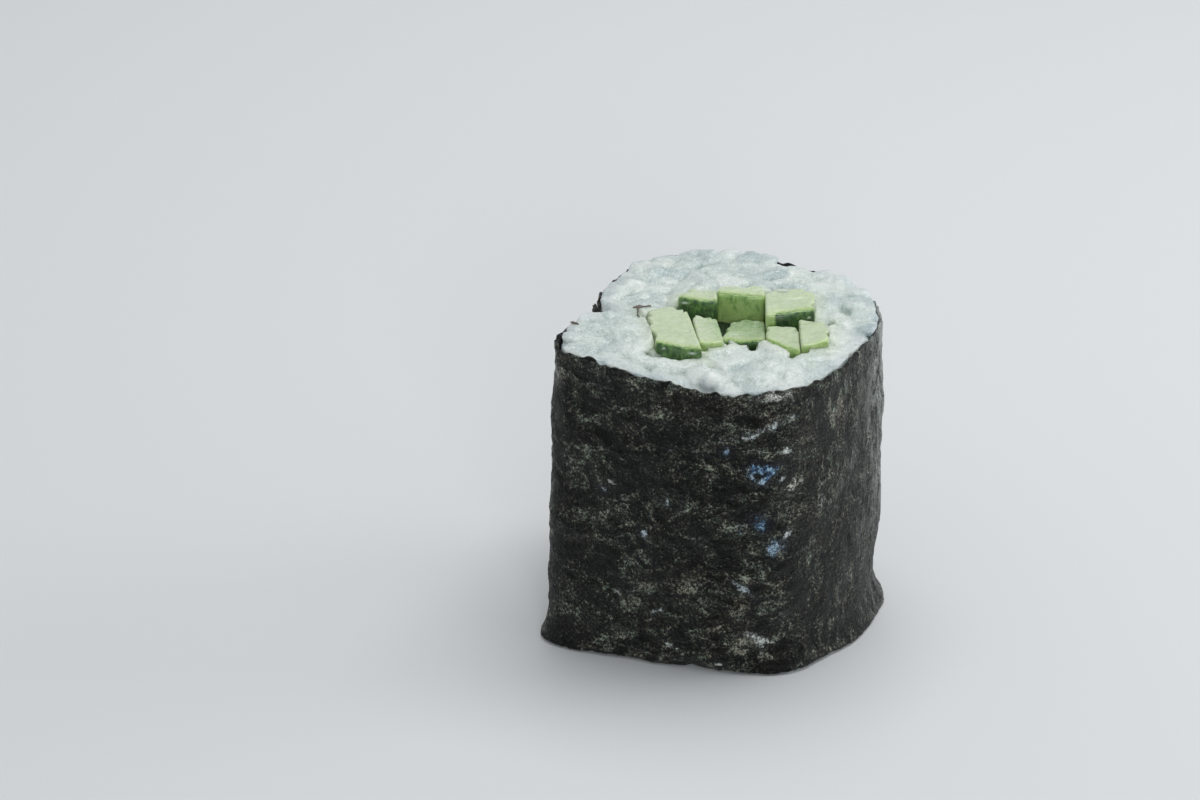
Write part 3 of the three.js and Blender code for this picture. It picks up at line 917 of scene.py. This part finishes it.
# Each flake is a strip along a line in the plan: (x, y, half width) at each point.
FLAKES = (
    ((-7.75, 2.35, 0.05), (-7.2, 2.5, 0.13), (-6.6, 2.55, 0.09), (-6.1, 2.75, 0.04)),
    ((-7.35, 2.3, 0.06), (-7.25, 1.4, 0.08), (-7.35, 0.5, 0.06), (-7.2, -0.5, 0.04)),
    ((-13.5, -1.15, 0.04), (-13.3, -1.4, 0.1), (-13.05, -1.65, 0.1), (-12.75, -1.9, 0.04)),
)
FLAKE_THICKNESS = 0.08


def level_near(surface, place):
    """The mean of a surface's three highest points near a place."""
    near = np.hypot(surface[:, 0] - place[0], surface[:, 1] - place[1]) < 0.3
    return np.sort(surface[near, 2])[-3:].mean()


def make_flakes(rice, material):
    """Thin strips that lie on the rice's surface."""
    surface = values_of(rice.data.vertices, "co", 3).reshape(-1, 3) / MM - SHIFT
    surface = surface[is_upper(surface)]
    points, faces = [], []
    for flake in FLAKES:
        line = np.array(flake)
        t = np.linspace(0, len(line) - 1, 22)
        x, y, half = (np.interp(t, np.arange(len(line)), line[:, i]) for i in range(3))
        way = np.stack([np.gradient(x), np.gradient(y)], axis=1)
        way /= np.linalg.norm(way, axis=1)[:, None]
        half = half * (1 + 0.25 * Waves(0.7, 95)(np.column_stack([x, y, 0 * x])))
        start = sum(len(p) for p in points)
        rings = []
        for across, up in ((-1, 0), (0, 0), (1, 0), (1, 1), (0, 1), (-1, 1)):
            px, py = x - way[:, 1] * half * across, y + way[:, 0] * half * across
            under = np.array([level_near(surface, place) for place in zip(px, py)])
            rings.append(np.column_stack([px, py, under - 0.02 + up * FLAKE_THICKNESS]))
        points.append(np.stack(rings, axis=1).reshape(-1, 3))
        faces += grid_faces(6, len(t), start, closed=True)[:, ::-1].tolist()
        last = start + (len(t) - 1) * 6
        faces += [list(range(start, start + 6)), list(range(last, last + 6))[::-1]]
    return add_object(new_mesh("nori_flakes", np.concatenate(points), faces), material)


# ---- Materials ----


def srgb(*rgb):
    """Linear colour from 8-bit sRGB."""
    linear = [c / 255 / 12.92 if c <= 10 else ((c / 255 + 0.055) / 1.055) ** 2.4 for c in rgb]
    return (*linear, 1.0)


class Nodes:
    """Shorthand for building a material's nodes."""

    def __init__(self, name):
        self.material = bpy.data.materials.new(name)
        self.material.use_nodes = True
        self.tree = self.material.node_tree
        self.shader = self.tree.nodes["Principled BSDF"]

    def add(self, kind, **settings):
        node = self.tree.nodes.new(kind)
        for key, value in settings.items():
            if hasattr(node, key):
                setattr(node, key, value)
            else:
                node.inputs[key].default_value = value
        return node

    def link(self, a, b):
        self.tree.links.new(a, b)

    def noise(self, size, detail, roughness, distortion=0, scale=(1, 1, 1)):
        """Noise in space, with features of a size in millimetres."""
        mapping = self.add("ShaderNodeMapping", Scale=scale)
        self.link(self.add("ShaderNodeTexCoord").outputs["Object"], mapping.inputs["Vector"])
        node = self.add("ShaderNodeTexNoise", Scale=1000 / size, Detail=detail)
        node.inputs["Roughness"].default_value = roughness
        node.inputs["Distortion"].default_value = distortion
        self.link(mapping.outputs["Vector"], node.inputs["Vector"])
        return node.outputs["Fac"]

    def attribute(self, name):
        return self.add("ShaderNodeAttribute", attribute_name=name).outputs["Fac"]

    def ramp(self, value, stops):
        """Colours by value; a stop is its value and an 8-bit sRGB colour."""
        node = self.add("ShaderNodeValToRGB")
        elements = node.color_ramp.elements
        first, *between, last = [(at, srgb(*rgb)) for at, *rgb in stops]
        elements[0].position, elements[0].color = first
        elements[1].position, elements[1].color = last
        for at, colour in between:
            elements.new(at).color = colour
        self.link(value, node.inputs["Fac"])
        return node.outputs["Color"]

    def feed(self, socket, value):
        """Sets a socket to a value or links it to another node's output."""
        if isinstance(value, (int, float, tuple)):
            socket.default_value = value
        else:
            self.link(value, socket)

    def math(self, operation, *values, clamp=False):
        node = self.add("ShaderNodeMath", operation=operation, use_clamp=clamp)
        for socket, value in zip(node.inputs, values):
            self.feed(socket, value)
        return node.outputs[0]

    def scaled(self, value, by, plus=0, clamp=False):
        """value * by + plus"""
        return self.math("MULTIPLY_ADD", value, by, plus, clamp=clamp)

    def mix(self, factor, a, b, blend="MIX"):
        node = self.add("ShaderNodeMix", data_type="RGBA", blend_type=blend)
        for socket, value in ((0, factor), (6, a), (7, b)):
            self.feed(node.inputs[socket], value)
        return node.outputs[2]

    def bump(self, height, distance, strength=1, normal=None):
        """A bump whose height is a distance in millimetres."""
        node = self.add("ShaderNodeBump", Distance=distance * MM, Strength=strength)
        self.link(height, node.inputs["Height"])
        if normal is not None:
            self.link(normal, node.inputs["Normal"])
        return node.outputs["Normal"]

    def set(self, **values):
        for key, value in values.items():
            self.feed(self.shader.inputs[key.replace("_", " ")], value)


def nori_material():
    n = Nodes("nori_damp")
    upright = n.attribute("upright")
    # The fibres lie along the sheet at the front and stand up at the right.
    lying = n.noise(6.5, 2, 0.6, 0.3, scale=(0.8, 0.8, 1.3))
    standing = n.noise(4.5, 2, 0.6, 0.5, scale=(1.5, 1.5, 0.6))
    patches = n.mix(upright, lying, standing)
    patches = n.scaled(patches, 0.45, 0.275)
    lying = n.noise(1.7, 2, 0.7, 0.8, scale=(0.8, 0.8, 1.2))
    standing = n.noise(1.5, 2, 0.7, 0.8, scale=(1.4, 1.4, 0.7))
    blotches = n.scaled(n.mix(upright, lying, standing), 1.15, -0.075)
    grain = n.scaled(n.noise(0.25, 3, 0.9), 1.9, -0.46)
    strands = n.noise(1.9, 3, 0.65, 1.2, scale=(0.8, 0.8, 1.2))
    strands = n.math("ABSOLUTE", n.math("SUBTRACT", strands, 0.5))
    strands = n.scaled(strands, -26, 1.0, clamp=True)
    strands = n.scaled(strands, n.scaled(blotches, 5.0, -2.3, clamp=True))
    total = n.math("ADD", patches, n.math("ADD", blotches, grain))
    total = n.scaled(strands, 0.14, n.math("SUBTRACT", total, 1.0))
    # Painted light and shade of the folds and the lit upper edge.
    total = n.math("ADD", total, n.attribute("tone"))
    colour = n.ramp(total, [
        (0.2, 4, 4, 4), (0.36, 12, 12, 12), (0.5, 27, 27, 25),
        (0.6, 50, 51, 47), (0.75, 98, 101, 94), (0.94, 180, 183, 172),
    ])
    hue = n.ramp(n.noise(3.6, 5, 0.8), [
        (0.36, 255, 240, 228), (0.47, 248, 244, 236), (0.53, 240, 254, 238),
        (0.64, 240, 240, 250),
    ])
    colour = n.mix(1.0, colour, hue, "MULTIPLY")
    # Grey fibres with a painted sheen where the sheet faces right.
    wisps = n.noise(1.6, 4, 0.75, 0.6, scale=(1.2, 1.2, 0.4))
    wisps = n.scaled(wisps, 3.6, n.scaled(total, 1.6, -2.05), clamp=True)
    fuzz = n.scaled(n.attribute("fuzz"), wisps)
    colour = n.mix(fuzz, colour, srgb(186, 192, 187))
    # The wet film: shinier, and painted with highlights.
    speckle = n.noise(0.45, 3, 0.85, 0.5)
    ragged = n.scaled(n.noise(0.8, 3, 0.7, 0.8), 4.0, -3.0)
    ragged = n.scaled(speckle, 3.5, n.math("SUBTRACT", ragged, 1.75))
    film = n.scaled(n.attribute("wet"), 2.3, ragged)
    film = n.scaled(film, 1.3, clamp=True)
    # A pale smear of starch under the film, painted bluish as the reflection of a bluish light.
    veil = n.mix(n.attribute("blue"), srgb(84, 84, 74), srgb(50, 66, 86))
    colour = n.mix(n.scaled(n.attribute("wet"), 0.45), colour, veil)
    # Sparse painted glints.
    sparks = n.scaled(n.noise(0.8, 4, 0.85, 0.4), 10.0, -6.4, clamp=True)
    colour = n.mix(n.scaled(sparks, 0.8), colour, srgb(170, 175, 165))
    # Painted highlights of the wet film: white, and bluish where they reflect a bluish light.
    glint = n.noise(0.3, 2, 0.9, 0.3)
    white = n.ramp(glint, [(0.36, 64, 66, 60), (0.46, 150, 152, 140), (0.58, 246, 246, 234)])
    blue = n.ramp(glint, [(0.38, 22, 38, 56), (0.48, 70, 112, 156), (0.62, 184, 220, 244)])
    colour = n.mix(film, colour, n.mix(n.attribute("blue"), white, blue))
    rough = n.scaled(grain, -0.5, 0.72)
    rough = n.mix(film, rough, (0.2, 0.2, 0.2, 1))
    normal = n.bump(n.noise(2.2, 4, 0.6, 0.4), 0.5, 0.9)
    normal = n.bump(total, 0.2, 0.9, normal)
    wet = n.scaled(n.noise(2.6, 4, 0.7, 0.5), 5.0, -2.8, clamp=True)
    n.set(Base_Color=colour, Roughness=rough, Normal=normal, Specular_IOR_Level=0.08)
    n.set(Coat_Weight=n.math("MAXIMUM", wet, film), Coat_Roughness=0.12, Coat_IOR=1.3)
    n.set(Sheen_Weight=0.12, Sheen_Roughness=0.45)
    return n.material


def rice_material():
    n = Nodes("rice_cooked")
    colour = n.ramp(n.attribute("tint"), [
        (0, 148, 166, 170), (0.5, 200, 211, 204), (1, 240, 244, 236),
    ])
    cloud = n.noise(1.4, 4, 0.65)
    colour = n.mix(n.scaled(cloud, 0.4), colour, srgb(184, 199, 197))
    speck = n.noise(0.2, 2, 0.9)
    specks = n.scaled(speck, 3.6, -1.6, clamp=True)
    colour = n.mix(n.scaled(specks, 0.7), colour, srgb(244, 247, 242))
    colour = n.mix(n.scaled(speck, -3.0, 1.35, clamp=True), colour, srgb(152, 172, 170))
    # Painted bluish-grey shade of the rice beside the sheet.
    rim = n.scaled(cloud, 2.2, -0.8, clamp=True)
    rim = n.scaled(rim, n.attribute("rim"))
    colour = n.mix(n.scaled(rim, 0.7), colour, srgb(158, 172, 184))
    colour = n.mix(n.scaled(n.attribute("juice"), 0.4), colour, srgb(204, 216, 176))
    # Painted shade in the gaps and on the hidden core's top.
    colour = n.mix(n.attribute("gap"), colour, srgb(32, 52, 34))
    fine = n.noise(0.35, 3, 0.7)
    rough = n.scaled(fine, 0.4, 0.14)
    normal = n.bump(n.noise(0.9, 4, 0.65), 0.16, 0.9)
    normal = n.bump(fine, 0.16, 1.0, normal)
    n.set(Base_Color=colour, Roughness=rough, Normal=normal, Specular_IOR_Level=0.45)
    n.set(Subsurface_Weight=0.85, Subsurface_Radius=(1.0, 1.0, 1.0), Subsurface_Scale=1.9 * MM)
    n.set(Coat_Weight=0.25, Coat_Roughness=0.12)
    return n.material


def cucumber_material():
    n = Nodes("cucumber_fresh")
    ragged = n.noise(0.7, 4, 0.7)
    depth = n.math("ADD", n.attribute("skin_depth"), n.scaled(ragged, 0.9, -0.45))
    place = n.math("DIVIDE", depth, 3.0)
    streaks = n.noise(0.6, 4, 0.8, 0.3, scale=(1, 1, 0.6))
    shade = n.scaled(n.attribute("tone"), 0.42, n.scaled(streaks, 1.5, -0.5))
    # Painted shade of the skin, mostly darker going down between the parts.
    shade = n.math("ADD", shade, n.attribute("fade"))
    skin = n.ramp(shade, [
        (0.12, 40, 68, 36), (0.32, 70, 104, 56), (0.5, 112, 150, 82),
        (0.72, 164, 190, 120),
    ])
    pale = n.ramp(n.attribute("green"), [
        (0, 200, 213, 180), (0.5, 180, 200, 156), (1, 122, 158, 100),
    ])
    cells = n.noise(0.45, 3, 0.7)
    pale = n.mix(n.scaled(cells, 1.6, -0.5, clamp=True), pale, srgb(214, 222, 196))
    under = n.ramp(place, [(0.03, 96, 134, 62), (0.14, 160, 186, 108), (0.3, 200, 214, 156)])
    to_flesh = n.ramp(place, [(0.08, 0, 0, 0), (0.42, 255, 255, 255)])
    flesh = n.mix(to_flesh, under, pale)
    is_skin = n.ramp(place, [(0.02, 255, 255, 255), (0.07, 0, 0, 0)])
    colour = n.mix(is_skin, flesh, skin)
    glint = n.scaled(n.attribute("glint"), n.scaled(cells, 1.6, 0.3, clamp=True))
    colour = n.mix(glint, colour, srgb(236, 244, 232))
    rough = n.scaled(ragged, 0.3, 0.14)
    normal = n.bump(cells, 0.05, 0.7)
    normal = n.bump(n.noise(1.4, 3, 0.6), 0.05, 0.7, normal)
    n.set(Base_Color=colour, Roughness=rough, Normal=normal)
    n.set(Subsurface_Weight=0.5, Subsurface_Radius=(0.8, 1.0, 0.5), Subsurface_Scale=0.9 * MM)
    n.set(Coat_Weight=0.35, Coat_Roughness=0.1)
    return n.material


def flake_material():
    n = Nodes("nori_soaked")
    colour = n.ramp(n.noise(0.4, 3, 0.8), [(0.35, 54, 50, 44), (0.65, 134, 120, 106)])
    n.set(Base_Color=colour, Roughness=0.45, Normal=n.bump(n.noise(0.3, 2, 0.6), 0.05))
    return n.material


def floor_material():
    n = Nodes("floor_pale")
    n.set(Base_Color=(0.72, 0.73, 0.73, 1.0), Roughness=0.8)
    return n.material


# ---- The piece ----

nori = make_nori(nori_material())
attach(nori, "root")
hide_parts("nori")

rice = make_rice(rice_material())
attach(rice, "root")
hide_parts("rice")

flakes = make_flakes(rice, flake_material())
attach(flakes, "root")

cucumber = cucumber_material()
for number, baton in enumerate(BATONS, 1):
    piece = make_baton(number, baton, cucumber)
    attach(piece, "root")
    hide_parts(f"cucumber_{number}")

# ---- Floor and light, in metres ----

FLOOR = 3.0  # half its side
LIT = (0, 0, 0.015)  # what the lights face
LIGHTS = (  # name, place, size, power, colour
    ("top", (0.06, 0.10, 0.36), (0.30, 0.24), 0.75, (0.97, 0.99, 1.0)),
    ("right", (0.34, 0.06, 0.12), (0.16, 0.22), 0.3, (1, 1, 1)),
    ("front", (0.05, -0.44, 0.19), (0.12, 0.09), 0.42, (0.94, 0.97, 1.0)),
)
SKY, SKY_STRENGTH = (0.93, 0.97, 1.0, 1.0), 0.42


def add_floor():
    mesh = bpy.data.meshes.new("floor")
    s = FLOOR
    mesh.from_pydata([(-s, -s, 0), (s, -s, 0), (s, s, 0), (-s, s, 0)], [], [(0, 1, 2, 3)])
    floor = add_object(mesh, floor_material())


def add_light(name, place, size, power, colour):
    data = bpy.data.lights.new(name, "AREA")
    data.shape = "RECTANGLE"
    data.size, data.size_y = size
    data.energy = power
    data.color = colour
    light = bpy.data.objects.new(name, data)
    light.location = place
    light.rotation_euler = (Vector(LIT) - Vector(place)).to_track_quat("-Z", "Y").to_euler()
    scene.collection.objects.link(light)


def add_world():
    world = bpy.data.worlds.new("studio")
    world.use_nodes = True
    background = world.node_tree.nodes["Background"]
    background.inputs["Color"].default_value = SKY
    background.inputs["Strength"].default_value = SKY_STRENGTH
    scene.world = world


add_floor()
add_world()
for light in LIGHTS:
    add_light(*light)
scene.view_settings.view_transform = "Standard"
